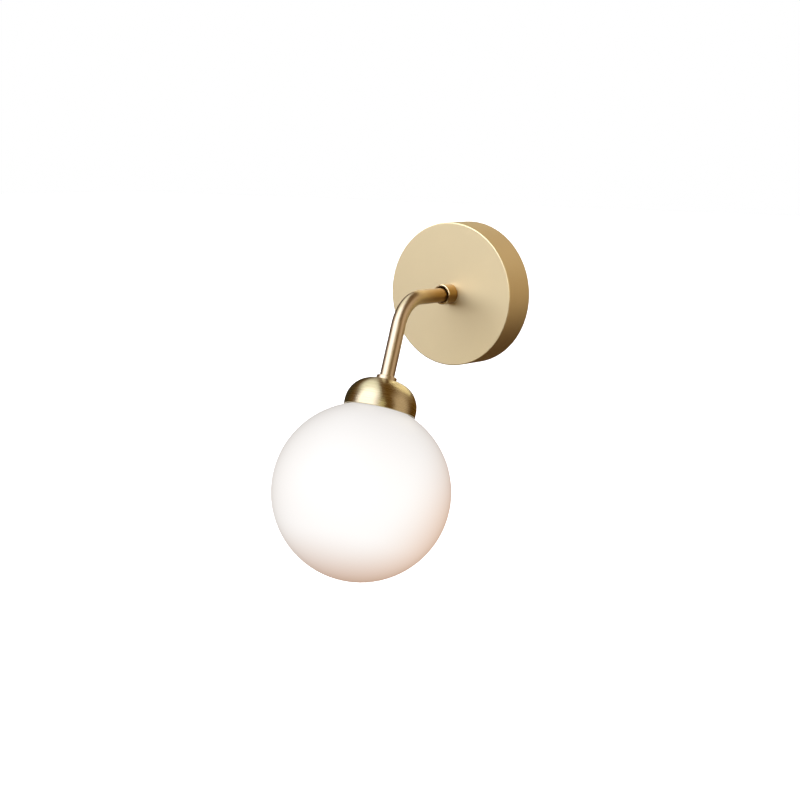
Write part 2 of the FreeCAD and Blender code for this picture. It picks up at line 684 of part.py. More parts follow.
def glass_gallery():
    """Spun steel gallery that the globe's neck screws into, with a curled rim."""
    flat = "(gallery_radius - gallery_curve)"
    middle = f"{GALLERY_TOP} + gallery_curve"
    lip = "gallery_lip"
    inner = "gallery_radius - gallery_wall"
    return turned("glass_gallery", "head", [
        ("thread_hole_radius", GALLERY_TOP),
        (flat, GALLERY_TOP, flat, middle, "left"),
        ("gallery_radius", middle), ("gallery_radius", f"gallery_rim - {lip}"),
        (f"gallery_radius + {lip}", f"gallery_rim - gallery_wall"),
        (f"gallery_radius + {lip}", "gallery_rim"),
        (f"{inner} + 0.6", "gallery_rim"), (inner, f"gallery_rim - 0.6"),
        (inner, middle, flat, middle, "right"),
        (flat, f"{GALLERY_TOP} + gallery_wall"), ("thread_hole_radius", f"{GALLERY_TOP} + gallery_wall")])


def lampholder_strap():
    """U-shaped steel strap clamped to the arm's end, with turned-in feet for the lampholder."""
    body = new_body()
    strap = new_sketch(body, "XZ_Plane")
    top = f"{GALLERY_TOP} + gallery_wall"
    under = f"{top} + strap_thick"
    outer, inner = "strap_reach", "strap_reach - strap_thick"
    foot, low, high = "lug_screw_x - 3", "holder_back - strap_thick", "holder_back"
    outline(strap, [
        (f"{outer} - 1.5", top, f"{outer} - 1.5", f"{top} + 1.5", "left"), (outer, f"{top} + 1.5"),
        (outer, high), (foot, high), (foot, low), (inner, low), (inner, under),
        (f"-({inner})", under), (f"-({inner})", low), (f"-({foot})", low), (f"-({foot})", high),
        (f"-{outer}", high), (f"-{outer}", f"{top} + 1.5", f"-({outer} - 1.5)", f"{top} + 1.5", "left"),
        (f"-({outer} - 1.5)", top)])
    pad(body, strap, "2 * strap_half_width", midplane=True)
    boss = new_sketch(body, height=top)
    circle(boss, "strap_eye_radius")
    pad(body, boss, "strap_thick")
    centre = new_sketch(body, height=f"{top} + 3")
    circle(centre, "thread_hole_radius")
    pocket(body, centre, "4")
    feet = new_sketch(body, height="holder_back + 1")
    for x in ("lug_screw_x", "-lug_screw_x"):
        circle(feet, "1.3", x)
    pocket(body, feet, "3")
    return keep("lampholder_strap", body, "head")


def lampholder():
    """Ceramic lampholder: lugs, body with rounded corners, contact pockets and slots for the pins."""
    body = new_body()
    lugs = new_sketch(body, height="holder_back")
    slot(lugs, "strap_reach", "lug_radius")
    pad(body, lugs, "lug_height")
    block = new_sketch(body, height="holder_back")
    wide, deep, corner = "holder_half_width", "holder_half_depth", "holder_corner"
    outline(block, [
        (f"-{wide} + {corner}", f"-{deep}"),
        (f"{wide} - {corner}", f"-{deep}", f"{wide} - {corner}", f"-{deep} + {corner}", "left"),
        (wide, f"-{deep} + {corner}"),
        (wide, f"{deep} - {corner}", f"{wide} - {corner}", f"{deep} - {corner}", "left"),
        (f"{wide} - {corner}", deep),
        (f"-{wide} + {corner}", deep, f"-{wide} + {corner}", f"{deep} - {corner}", "left"),
        (f"-{wide}", f"{deep} - {corner}"),
        (f"-{wide}", f"-{deep} + {corner}", f"-{wide} + {corner}", f"-{deep} + {corner}", "left")])
    pad(body, block, "holder_face - holder_back")
    recess = new_sketch(body, height="holder_back")
    rectangle(recess, "-7.5", "-5", "7.5", "5")
    pocket(body, recess, "holder_cover_thick", up=True)
    pockets = new_sketch(body, height="holder_back")
    slots = new_sketch(body, height="holder_back")
    holes = new_sketch(body, height="holder_back")
    for side in ("", "-"):
        centre = f"{side}pin_spacing / 2"
        rectangle(pockets, f"{centre} - 1.6", "-contact_width / 2 - 0.8",
                  f"{centre} + 1.6", "contact_width / 2 + 0.8")
        rectangle(slots, f"{centre} - 0.7", "-pin_width / 2 - 0.4", f"{centre} + 0.7", "pin_width / 2 + 0.4")
        circle(holes, "1.6", f"{side}lug_screw_x")
    pocket(body, pockets, "holder_face - holder_back - 1.5", up=True)
    pocket(body, slots, "holder_face - holder_back + 1", up=True)
    pocket(body, holes, "lug_height + 1", up=True)
    return keep("lampholder", body, "head")


def lampholder_cover():
    """Thin insulating plate in the back of the lampholder, with a hole for each lead."""
    body = new_body()
    plate = new_sketch(body, height="holder_back")
    rectangle(plate, "-7.4", "-4.9", "7.4", "4.9")
    for side in ("", "-"):
        circle(plate, "lead_radius + 0.1", f"{side}pin_spacing / 2")
    pad(body, plate, "holder_cover_thick")
    return keep("lampholder_cover", body, "head")


def lampholder_contacts():
    """Two sprung clips that grip the lamp's pins."""
    body = new_body()
    low = "holder_back + holder_cover_thick + 1"
    high = f"{low} + contact_length"
    for side in ("", "-"):
        centre = f"{side}pin_spacing / 2"
        clip = new_sketch(body, "XZ_Plane")
        left, right = f"{centre} - contact_gap / 2", f"{centre} + contact_gap / 2"
        outline(clip, [
            (f"{left} - contact_thick", low), (f"{right} + contact_thick", low),
            (f"{right} + contact_thick", high), (right, high), (right, f"{low} + contact_thick"),
            (left, f"{low} + contact_thick"), (left, high), (f"{left} - contact_thick", high)])
        pad(body, clip, "contact_width", midplane=True)
    return keep("lampholder_contacts", body, "head")


def lampholder_screws():
    """Two screws through the lampholder's lugs into the strap's feet."""
    seat = "holder_back + lug_height"
    screws = [slotted_screw(x, "0", seat, "holder_back - strap_thick - 1.4", "1.3", "2.6", "1.8")
              for x in ("lug_screw_x", "-lug_screw_x")]
    return group("lampholder_screws", "head", screws)


def lamp():
    """Plug-in capsule lamp: base, two pins, the board with its light chips, and the frosted cover."""
    base = turned("lamp_base", "head", [
        ("0", "holder_face"), ("lamp_radius - 0.8", "holder_face"), ("lamp_radius", "holder_face + 0.8"),
        ("lamp_radius", "lamp_base_top"), ("lamp_radius - 0.9", "lamp_base_top"),
        ("lamp_radius - 0.9", "lamp_base_top + 2.5"), ("0", "lamp_base_top + 2.5")])
    flats = new_sketch(base, height="holder_face")
    for low, high in (("lamp_flat", "lamp_radius + 1"), ("-lamp_radius - 1", "-lamp_flat")):
        rectangle(flats, "-lamp_radius - 1", low, "lamp_radius + 1", high)
    pocket(base, flats, "lamp_base_top - holder_face - 3", up=True)
    slots = new_sketch(base, height="holder_face")
    for side in ("", "-"):
        centre = f"{side}pin_spacing / 2"
        rectangle(slots, f"{centre} - pin_thick / 2", "-pin_width / 2",
                  f"{centre} + pin_thick / 2", "pin_width / 2")
    pocket(base, slots, "2", up=True)
    pins = [box("pin_thick", "pin_width", "pin_length + 2", f"{side}pin_spacing / 2", "0",
                "holder_face - pin_length") for side in ("", "-")]
    group("lamp_pins", "head", pins)
    floor = "lamp_base_top + 2.5"
    group("lamp_board", "head", [box("stick_width", "stick_thick", "stick_length", z=floor)])
    chips = []
    for side in ("stick_thick / 2 + 0.35", "-stick_thick / 2 - 0.35"):
        for column in ("stick_width / 4", "-stick_width / 4"):
            for row in range(4):
                chips.append(box("2.8", "0.7", "3", column, side, f"{floor} + 2 + {row} * 5"))
    group("lamp_chips", "head", chips)
    top, wall = "lamp_top - lamp_radius", "lamp_wall"
    turned("lamp_cover", "head", [
        ("lamp_radius", "lamp_base_top"), ("lamp_radius", top, "0", top, "left"), ("0", "lamp_top"),
        ("0", f"lamp_top - {wall}", "0", top, "right"), (f"lamp_radius - {wall}", top),
        (f"lamp_radius - {wall}", "lamp_base_top")])


# Globe

def neck_seal():
    """Rubber ring round the neck, between the gallery's rim and the shoulder of the globe."""
    return turned("neck_seal", "head", [
        ("neck_radius + 0.2", "gallery_rim"), ("neck_radius + seal_width", "gallery_rim"),
        ("neck_radius + seal_width", "gallery_rim + seal_height"),
        ("neck_radius + 0.2", "gallery_rim + seal_height")])


def glass_globe():
    """Blown opal globe with a hollow body and a straight open neck."""
    inner_radius, inner_neck = "(globe_radius - globe_wall)", "(neck_radius - neck_wall)"
    shoulder = "globe_centre - sqrt(globe_radius ^ 2 - neck_radius ^ 2)"
    inner_shoulder = f"globe_centre - sqrt({inner_radius} ^ 2 - {inner_neck} ^ 2)"
    return turned("glass_globe", "head", [
        ("neck_radius", "neck_top"), ("neck_radius", shoulder, "0", "globe_centre", "left"),
        ("0", "globe_centre + globe_radius"),
        ("0", f"globe_centre + {inner_radius}", "0", "globe_centre", "right"),
        (inner_neck, inner_shoulder), (inner_neck, "neck_top")])


def check_and_write():
    """Refuse failed objects, cuts that cut nothing and bad solids, then write one file for each piece."""
    for item in document.Objects:
        if "Invalid" in item.State or "Error" in item.State:
            raise RuntimeError(f"{item.Label} failed: {item.State}")
        if item.isDerivedFrom("PartDesign::Pocket") and item.Shape.Volume > item.BaseFeature.Shape.Volume - 0.01:
            raise RuntimeError(f"{item.Label} cuts nothing in {item.getParentGeoFeatureGroup().Label}")
    for name, item in nodes.items():
        if item.Shape.isNull() or not item.Shape.isValid():
            raise RuntimeError(f"{name} has no valid shape")
    for name, item in nodes.items():
        item.Shape.exportStep(os.path.join("parts", name + ".step"))
        print(name, len(item.Shape.Solids), "solids", round(item.Shape.Volume, 1), "mm3")


fill_sheet()
wall_plate()
arm_bridge()
bridge_rivets()
terminal_block()
terminal_barrels()
terminal_screws()
terminal_fixing_screws()
earthing()
arm_fixing()
canopy()
collar()
collar_grub_screw()
arm_tube()
end_bush("wall_end_bush", "wall", "arm_start", -1)
end_bush("lamp_end_bush", "head", "arm_end", 1)
lamp_leads()
earth_leads()
cap_ring()
dome_cap()
cap_fixing()
glass_gallery()
lampholder_strap()
lampholder()
lampholder_cover()
lampholder_contacts()
lampholder_screws()
lamp()
neck_seal()
glass_globe()
document.recompute()
os.makedirs("parts", exist_ok=True)
check_and_write()
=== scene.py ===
import math

import bmesh
import bpy
from bpy.props import FloatProperty, FloatVectorProperty, IntProperty, PointerProperty
from mathutils import Matrix, Vector


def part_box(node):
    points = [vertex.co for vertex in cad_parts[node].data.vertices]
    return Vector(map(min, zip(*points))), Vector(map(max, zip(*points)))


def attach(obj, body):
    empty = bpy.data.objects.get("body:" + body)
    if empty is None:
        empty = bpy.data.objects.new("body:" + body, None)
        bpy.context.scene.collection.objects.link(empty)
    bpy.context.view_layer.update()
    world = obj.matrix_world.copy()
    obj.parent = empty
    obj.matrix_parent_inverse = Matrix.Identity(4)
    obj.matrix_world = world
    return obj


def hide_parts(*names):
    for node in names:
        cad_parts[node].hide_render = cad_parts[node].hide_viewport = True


bl_info = {
    "name": "Globe Wall Sconce",
    "version": (1, 0, 0),
    "blender": (4, 5, 0),
    "location": "3D View > Sidebar > Sconce",
    "description": "Finishes of a globe wall sconce, built round its packed CAD frame",
    "category": "Object",
}

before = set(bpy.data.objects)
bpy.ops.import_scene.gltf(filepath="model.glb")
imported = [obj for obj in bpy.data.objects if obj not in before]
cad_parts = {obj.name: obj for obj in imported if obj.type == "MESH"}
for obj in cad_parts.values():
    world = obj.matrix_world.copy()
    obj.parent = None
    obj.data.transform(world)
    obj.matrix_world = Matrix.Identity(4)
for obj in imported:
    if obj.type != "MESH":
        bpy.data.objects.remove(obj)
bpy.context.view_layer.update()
CANOPY_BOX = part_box("canopy")
GLOBE_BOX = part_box("glass_globe")
MM = 0.001


# Sizes, colours and studio that a user may change

class SconceSizes(bpy.types.PropertyGroup):
    """Sizes of the pieces that are formed here."""
    canopy_radius: FloatProperty(
        name="Canopy Radius", description="Outside radius of the wall canopy",
        default=CANOPY_BOX[1].x, unit="LENGTH")
    canopy_depth: FloatProperty(
        name="Canopy Depth", description="Depth of the canopy from the wall to its front",
        default=-CANOPY_BOX[0].y, unit="LENGTH")
    canopy_wall: FloatProperty(
        name="Canopy Wall", description="Thickness of the canopy's side",
        default=1.5 * MM, unit="LENGTH")
    canopy_front: FloatProperty(
        name="Canopy Front", description="Thickness of the canopy's front",
        default=2 * MM, unit="LENGTH")
    canopy_edge: FloatProperty(
        name="Canopy Edge", description="Radius of the canopy's front edge",
        default=0.8 * MM, unit="LENGTH")
    canopy_hole: FloatProperty(
        name="Canopy Hole", description="Radius of the hole for the arm",
        default=5.4 * MM, unit="LENGTH")
    arm_radius: FloatProperty(
        name="Arm Radius", description="Outside radius of the arm tube",
        default=5 * MM, unit="LENGTH")
    arm_wall: FloatProperty(
        name="Arm Wall", description="Thickness of the arm tube", default=1 * MM, unit="LENGTH")
    arm_start: FloatProperty(
        name="Arm Start", description="Distance of the arm's open end from the wall",
        default=8.6 * MM, unit="LENGTH")
    arm_reach: FloatProperty(
        name="Arm Reach", description="Distance of the arm's corner from the wall",
        default=78.5 * MM, unit="LENGTH")
    arm_tilt: FloatProperty(
        name="Arm Tilt", description="Lean of the lower leg out of the vertical",
        default=math.radians(20), subtype="ANGLE", unit="ROTATION")
    arm_bend: FloatProperty(
        name="Arm Bend", description="Radius of the bend's middle line",
        default=26 * MM, unit="LENGTH")
    arm_end: FloatProperty(
        name="Arm End", description="Length of the lower leg from the corner",
        default=67.6 * MM, unit="LENGTH")
    thread_pitch: FloatProperty(
        name="Thread Pitch", description="Pitch of the thread on the arm's ends",
        default=1 * MM, unit="LENGTH")
    cap_top: FloatProperty(
        name="Cap Top", description="Distance of the cap's crown from the arm's corner",
        default=57 * MM, unit="LENGTH")
    cap_rim: FloatProperty(
        name="Cap Rim", description="Distance of the cap's rim from the arm's corner",
        default=78.4 * MM, unit="LENGTH")
    cap_radius: FloatProperty(
        name="Cap Radius", description="Outside radius of the cap's skirt",
        default=24.5 * MM, unit="LENGTH")
    cap_curve: FloatProperty(
        name="Cap Shoulder", description="Radius of the cap's shoulder",
        default=17.8 * MM, unit="LENGTH")
    cap_wall: FloatProperty(
        name="Cap Wall", description="Thickness of the spun cap", default=1.2 * MM, unit="LENGTH")
    globe_radius: FloatProperty(
        name="Globe Radius", description="Outside radius of the glass globe",
        default=GLOBE_BOX[1].x, unit="LENGTH")
    globe_centre: FloatProperty(
        name="Globe Centre", description="Distance of the globe's centre from the arm's corner",
        default=134 * MM, unit="LENGTH")
    globe_wall: FloatProperty(
        name="Glass Thickness", description="Thickness of the glass",
        default=2.5 * MM, unit="LENGTH")
    neck_radius: FloatProperty(
        name="Neck Radius", description="Outside radius of the globe's neck",
        default=18 * MM, unit="LENGTH")
    neck_top: FloatProperty(
        name="Neck Top", description="Distance of the neck's edge from the arm's corner",
        default=67.6 * MM, unit="LENGTH")
    turn_steps: IntProperty(
        name="Turning Steps", description="Faces round each turned piece", default=160, min=24)


class SconceColours(bpy.types.PropertyGroup):
    """Colours of the finishes."""
    canopy_brass: FloatVectorProperty(
        name="Canopy Brass", description="Pale satin brass of the canopy", subtype="COLOR",
        default=(1.0, 0.885, 0.515), min=0, max=1)
    satin_brass: FloatVectorProperty(
        name="Satin Brass", description="Arm and the cap's ring", subtype="COLOR",
        default=(0.63, 0.52, 0.34), min=0, max=1)
    # Painted shade: darker brass for the collar and for the arm near the wall, standing in for the
    # shade and dark reflections there.
    painted_shade_brass: FloatVectorProperty(
        name="Painted Shade Brass", description="Collar, and the arm where it comes out of it",
        subtype="COLOR", default=(0.3, 0.165, 0.044), min=0, max=1)
    brushed_brass: FloatVectorProperty(
        name="Brushed Brass", description="Spun cap", subtype="COLOR",
        default=(0.63, 0.545, 0.335), min=0, max=1)
    zinc: FloatVectorProperty(
        name="Zinc", description="Plated steel of the plate, bridge and gallery", subtype="COLOR",
        default=(0.6, 0.66, 0.73), min=0, max=1)
    plain_brass: FloatVectorProperty(
        name="Plain Brass", description="Terminal barrels and screws", subtype="COLOR",
        default=(0.72, 0.53, 0.25), min=0, max=1)
    opal_glass: FloatVectorProperty(
        name="Opal Glass", description="Body of the opal glass", subtype="COLOR",
        default=(0.08, 0.08, 0.075), min=0, max=1)
    lit_glass: FloatVectorProperty(
        name="Lit Glass", description="Light of the lamp in the glass", subtype="COLOR",
        default=(1.0, 0.99, 0.982), min=0, max=1)
    lit_glass_back: FloatVectorProperty(
        name="Lit Glass, Back", description="Light in the glass on its side to the wall",
        subtype="COLOR", default=(0.9, 0.68, 0.545), min=0, max=1)
    lit_glass_low: FloatVectorProperty(
        name="Lit Glass, Low", description="Light in the glass far below the lamp",
        subtype="COLOR", default=(0.69, 0.46, 0.33), min=0, max=1)
    lit_glass_neck: FloatVectorProperty(
        name="Lit Glass, Neck", description="Light in the glass in the shade of the cap",
        subtype="COLOR", default=(0.865, 0.86, 0.86), min=0, max=1)


class SconceStudio(bpy.types.PropertyGroup):
    """Where the camera stands and how strong the studio's lights are."""
    azimuth: FloatProperty(
        name="Azimuth", description="Direction of the camera round the sconce",
        default=math.radians(36.273), subtype="ANGLE", unit="ROTATION")
    elevation: FloatProperty(
        name="Elevation", description="Height of the camera over the horizon",
        default=math.radians(8.042), subtype="ANGLE", unit="ROTATION")
    roll: FloatProperty(
        name="Roll", description="Turn of the camera about its own axis",
        default=math.radians(0.696), subtype="ANGLE", unit="ROTATION")
    distance: FloatProperty(
        name="Distance", description="Distance of the camera from its aim",
        default=1.263184, unit="LENGTH")
    aim_right: FloatProperty(
        name="Aim Right", description="Shift of the aim to the camera's right",
        default=-0.013005, unit="LENGTH")
    aim_up: FloatProperty(
        name="Aim Up", description="Shift of the aim upwards", default=-0.070399, unit="LENGTH")
    focal_length: FloatProperty(
        name="Focal Length", description="Focal length on a 36 mm sensor", default=83.171,
        unit="CAMERA", subtype="DISTANCE_CAMERA")
    floor_depth: FloatProperty(
        name="Floor Depth", description="Depth of the floor under the sconce's origin",
        default=1.2, unit="LENGTH")
    key_strength: FloatProperty(
        name="Key Strength", description="Brightness of the large soft light at the front left",
        default=2.5, min=0)
    fill_strength: FloatProperty(
        name="Fill Strength", description="Brightness of the warm light at the right",
        default=0.8, min=0)
    lamp_strength: FloatProperty(
        name="Lamp Strength", description="Brightness of the lit globe", default=1.14, min=0)


# Node trees

class Value:
    """A socket of a node tree. Arithmetic on it adds Math nodes to the tree."""

    def __init__(self, graph, socket):
        self.graph = graph
        self.socket = socket

    def math(self, operation, *others):
        """A Math node on this value and others."""
        return self.graph.add("ShaderNodeMath", {"operation": operation}, (self, *others))

    def output(self, name):
        """Another output of the same node."""
        return Value(self.graph, self.socket.node.outputs[name])

    def __add__(self, other):
        return self.math("ADD", other)

    __radd__ = __add__

    def __sub__(self, other):
        return self.math("SUBTRACT", other)

    def __rsub__(self, other):
        return self.graph.add("ShaderNodeMath", {"operation": "SUBTRACT"}, (other, self))

    def __mul__(self, other):
        return self.math("MULTIPLY", other)

    def __truediv__(self, other):
        return self.math("DIVIDE", other)

    def __lt__(self, other):
        return self.math("LESS_THAN", other)


class Graph:
    """Adds nodes to a tree."""

    def __init__(self, tree):
        self.tree = tree

    def add(self, kind, settings=None, values=(), output=0):
        """Add a node. Its settings go first, then the values or links of its sockets."""
        node = self.tree.nodes.new(kind)
        for name, setting in (settings or {}).items():
            setattr(node, name, setting)
        pairs = values.items() if isinstance(values, dict) else enumerate(values)
        for key, value in pairs:
            self.put(node.inputs[key], value)
        return Value(self, node.outputs[output])

    def put(self, socket, value):
        """Link a value to a socket, or set the socket to a number, vector or colour."""
        if isinstance(value, Value):
            self.tree.links.new(value.socket, socket)
        elif socket.type == "RGBA" and len(value) == 3:
            socket.default_value = (*value, 1)
        else:
            socket.default_value = value

    def combine(self, x, y, z):
        """A vector from its x, y and z."""
        return self.add("ShaderNodeCombineXYZ", values=(x, y, z))

    def separate(self, vector):
        """The x, y and z of a vector."""
        parts = self.add("ShaderNodeSeparateXYZ", values=(vector,))
        return parts, parts.output("Y"), parts.output("Z")

    def smooth(self, value, low, high):
        """0 at low, 1 at high and a smooth step between, whichever of them is the larger."""
        settings = {"interpolation_type": "SMOOTHSTEP"}
        values = {"Value": value, "From Min": low, "From Max": high}
        return self.add("ShaderNodeMapRange", settings, values)

    def noise(self, vector, scale, detail=2):
        """Cloudy noise from 0 to 1. The scale is in waves for each metre of the vector."""
        values = {"Vector": vector, "Scale": scale, "Detail": detail}
        return self.add("ShaderNodeTexNoise", values=values)

    def mix(self, factor, first, second, blend="MIX"):
        """The first colour at a factor of 0 and the second at 1."""
        settings = {"data_type": "RGBA", "blend_type": blend}
        return self.add("ShaderNodeMix", settings, {0: factor, 6: first, 7: second}, output=2)

    def bump(self, height, depth):
        """The surface's normal over small hills of a depth in metres."""
        return self.add("ShaderNodeBump", values={"Distance": depth, "Height": height})


def new_finish(name):
    """An empty finish: its graph and its Principled shader."""
    material = bpy.data.materials.new(name)
    material.use_nodes = True
    graph = Graph(material.node_tree)
    return material, graph, material.node_tree.nodes["Principled BSDF"]


def place(graph):
    """The surface's own place in the row frame, in metres."""
    return graph.add("ShaderNodeTexCoord", output="Object")


def set_sockets(graph, shader, values):
    """Set or link the shader's sockets by name."""
    for name, value in values.items():
        graph.put(shader.inputs[name], value)


# Finishes

def tinted(colour, factor):
    """A colour made lighter or darker."""
    return tuple(part * factor for part in colour)


def satin_metal(name, colour, painted_shade=None, fade=(0, 1), roughness=0.33, cloudiness=1.0):
    """Fine bead-blasted metal, faintly clouded.

    A darker colour of painted shade starts at the wall and fades between two distances from it.
    """
    material, graph, shader = new_finish(name)
    spot = place(graph)
    # painted shade: the darker colour near the wall fades out between the two distances
    if painted_shade:
        _, out, _ = graph.separate(spot)
        colour = graph.mix(graph.smooth(0 - out, *fade), painted_shade, colour)
    cloud = graph.noise(spot, scale=55, detail=3)
    fine = graph.noise(spot, scale=3200)
    smear = graph.noise(spot, scale=330)
    tone = graph.smooth(cloud * 0.7 + fine * 0.3, 0.75, 0.3) * cloudiness
    set_sockets(graph, shader, {
        "Metallic": 1.0,
        "Base Color": graph.mix(tone, colour, (0.94, 0.94, 0.94), "MULTIPLY"),
        "Roughness": (roughness + (cloud - 0.5) * (0.06 * cloudiness)
                      + (smear - 0.5) * (0.05 * cloudiness)),
        "Normal": graph.bump(fine, depth=0.006 * MM),
    })
    return material


def brushed_brass(name, colour):
    """Brass brushed round its axis: grooves that follow the turned form."""
    material, graph, shader = new_finish(name)
    around = graph.add("ShaderNodeUVMap", {"uv_map": "Turned"})
    turn, along, _ = graph.separate(around)
    angle = turn * math.tau
    ring_x, ring_y = angle.math("COSINE"), angle.math("SINE")
    broad = graph.noise(graph.combine(ring_x * 0.5, ring_y * 0.5, along * 2200), scale=1, detail=3)
    fine = graph.noise(graph.combine(ring_x * 2, ring_y * 2, along * 5200), scale=1, detail=3)
    patch = graph.noise(place(graph), scale=60)
    streak = graph.smooth(broad * 0.5 + fine * 0.5, 0.32, 0.68)
    set_sockets(graph, shader, {
        "Metallic": 1.0,
        "Base Color": graph.mix(streak, tinted(colour, 0.82), colour),
        "Roughness": 0.25 + streak * 0.07 + (patch - 0.5) * 0.06,
        "Anisotropic": 0.8,
        "Anisotropic Rotation": 0.25,
        "Normal": graph.bump(broad * 0.5 + fine * 0.5, depth=0.05 * MM),
    })
    return material


def zinc_plate(name, colour):
    """Bright zinc plating with faint spangle and rolling marks."""
    material, graph, shader = new_finish(name)
    spot = place(graph)
    spangle = graph.add("ShaderNodeTexVoronoi", values={"Vector": spot, "Scale": 420})
    cloud = graph.noise(spot, scale=90, detail=4)
    rolled = graph.add("ShaderNodeMapping", values={"Vector": spot, "Scale": (2600, 2600, 90)})
    lines = graph.noise(rolled, scale=1)
    tone = graph.smooth(spangle * 0.5 + cloud * 0.6, 0.25, 0.8)
    set_sockets(graph, shader, {
        "Metallic": 0.5,
        "Base Color": graph.mix(tone, tinted(colour, 0.82), colour),
        "Roughness": 0.5 + (cloud - 0.5) * 0.2 + (lines - 0.5) * 0.08,
        "Normal": graph.bump(lines * 0.6 + cloud * 0.4, depth=0.006 * MM),
    })
    return material


def turned_metal(name, colour, roughness=0.28):
    """Machined metal of nuts, barrels and contacts, with fine tool marks."""
    material, graph, shader = new_finish(name)
    spot = place(graph)
    cloud = graph.noise(spot, scale=160, detail=3)
    turned = graph.add("ShaderNodeMapping", values={"Vector": spot, "Scale": (900, 6500, 900)})
    marks = graph.noise(turned, scale=1)
    set_sockets(graph, shader, {
        "Metallic": 1.0,
        "Base Color": graph.mix(graph.smooth(cloud, 0.3, 0.7), tinted(colour, 0.8), colour),
        "Roughness": roughness + (cloud - 0.5) * 0.18 + (marks - 0.5) * 0.1,
        "Normal": graph.bump(marks, depth=0.005 * MM),
    })
    return material


def moulded(name, colour, roughness, coat=0.0):
    """Moulded plastic, rubber or fired ceramic with a fine skin."""
    material, graph, shader = new_finish(name)
    spot = place(graph)
    cloud = graph.noise(spot, scale=120, detail=3)
    skin = graph.noise(spot, scale=2400)
    set_sockets(graph, shader, {
        "Base Color": graph.mix(graph.smooth(cloud, 0.3, 0.7), tinted(colour, 0.9), colour),
        "Roughness": roughness + (skin - 0.5) * 0.14 + (cloud - 0.5) * 0.08,
        "Coat Weight": coat,
        "Normal": graph.bump(skin, depth=0.01 * MM),
    })
    return material


def striped_lead(name, base, stripe):
    """Two-colour sheath: a stripe along two sides of the lead."""
    material, graph, shader = new_finish(name)
    facing = graph.add("ShaderNodeTexCoord", output="Normal")
    _, side, _ = graph.separate(facing)
    edge = graph.smooth(side.math("ABSOLUTE"), 0.56, 0.62)
    skin = graph.noise(place(graph), scale=2600)
    set_sockets(graph, shader, {
        "Base Color": graph.mix(edge, base, stripe),
        "Roughness": 0.42 + (skin - 0.5) * 0.12,
        "Normal": graph.bump(skin, depth=0.008 * MM),
    })
    return material


def lit_opal(name, colours, strength, sizes):
    """Opal glass with the lamp lit inside, dimmer under the cap, at the back and at the bottom.

    The coat is the thin skin of clear satin glass over the opal. It takes a little of the light
    that leaves at a low angle, so the globe is softly shaded towards its outline from every side.
    """
    material, graph, shader = new_finish(name)
    spot = place(graph)
    down = Vector((0, -math.sin(sizes.arm_tilt), -math.cos(sizes.arm_tilt)))
    to_wall = Vector((0.17, 0.785, -0.596))
    centre = Vector((0, -sizes.arm_reach, 0)) + down * sizes.globe_centre

    def reach(direction):
        """How far the surface lies from the globe's centre in a direction, in radii."""
        along = graph.add("ShaderNodeVectorMath", {"operation": "DOT_PRODUCT"},
                          (spot, direction), output="Value")
        return (along - centre.dot(direction)) / sizes.globe_radius

    below = reach(down)
    glow = graph.mix(graph.smooth(reach(to_wall), -0.32, 0.8),
                     colours.lit_glass, colours.lit_glass_back)
    glow = graph.mix(graph.smooth(below, 0.5, 1.3), glow, colours.lit_glass_low)
    glow = graph.mix(graph.smooth(below, 0.2, -1.25), glow, colours.lit_glass_neck)
    cloud = graph.noise(spot, scale=30)
    skin = graph.noise(spot, scale=240)
    set_sockets(graph, shader, {
        "Base Color": graph.mix(cloud, tinted(colours.opal_glass, 0.97), colours.opal_glass),
        "Roughness": 0.4 + (skin - 0.5) * 0.06,
        "Specular IOR Level": 0.15,
        "Coat Weight": 1.0,
        "Coat Roughness": 0.35,
        "Coat IOR": 1.05,
        "Coat Tint": (0.88, 0.87, 0.86),
        "Emission Color": glow,
        "Emission Strength": strength,
        "Normal": graph.bump(skin, depth=0.01 * MM),
    })
    return material


def frosted_lamp(name):
    """Frosted plastic cover of the lamp, glowing."""
    material, graph, shader = new_finish(name)
    spot = place(graph)
    skin = graph.noise(spot, scale=1800)
    cloud = graph.noise(spot, scale=150)
    set_sockets(graph, shader, {
        "Base Color": graph.mix(cloud, (0.84, 0.83, 0.8), (0.92, 0.91, 0.88)),
        "Roughness": 0.5 + (skin - 0.5) * 0.15,
        "Emission Color": graph.mix(cloud, (1, 0.84, 0.62), (1, 0.9, 0.72)),
        "Emission Strength": 1.6,
        "Normal": graph.bump(skin, depth=0.01 * MM),
    })
    return material


# Forming

DEGREES_A_STEP = 6
FEWEST_STEPS = 5
WELD = 1e-7
SHARP_EDGE = math.radians(40)


def wall_frame():
    """Local z runs out from the wall and local y is up."""
    return Matrix.Rotation(math.radians(90), 4, "X")


def head_frame(sizes):
    """Local z runs down the arm's lower leg from its corner."""
    return (Matrix.Translation((0, -sizes.arm_reach, 0))
            @ Matrix.Rotation(math.pi - sizes.arm_tilt, 4, "X"))


def round_corner(before, corner, after, radius):
    """Points of the arc that rounds a corner, with a support point on each of its sides."""
    back = (before - corner).normalized()
    ahead = (after - corner).normalized()
    half = back.angle(ahead) / 2
    reach = radius / math.tan(half)
    centre = corner + (back + ahead).normalized() * (radius / math.sin(half))
    start, end = corner + back * reach - centre, corner + ahead * reach - centre
    turn = start.angle_signed(end)
    steps = max(FEWEST_STEPS, round(abs(math.degrees(turn)) / DEGREES_A_STEP))
    arc = [centre + Matrix.Rotation(-turn * step / steps, 2) @ start
           for step in range(steps + 1)]
    small = radius < 2 * MM
    support = 0.25 * radius if small else 0.2 * MM
    return [arc[0] + back * support] + arc + [arc[-1] + ahead * support]


def rounded_profile(corners):
    """A closed profile from corners given as radius, height and rounding."""
    points = []
    for index, (radius, height, rounding) in enumerate(corners):
        corner = Vector((radius, height))
        if not rounding:
            points.append(corner)
            continue
        before = Vector(corners[index - 1][:2])
        after = Vector(corners[(index + 1) % len(corners)][:2])
        points += round_corner(before, corner, after, rounding)
    return points + points[:1]


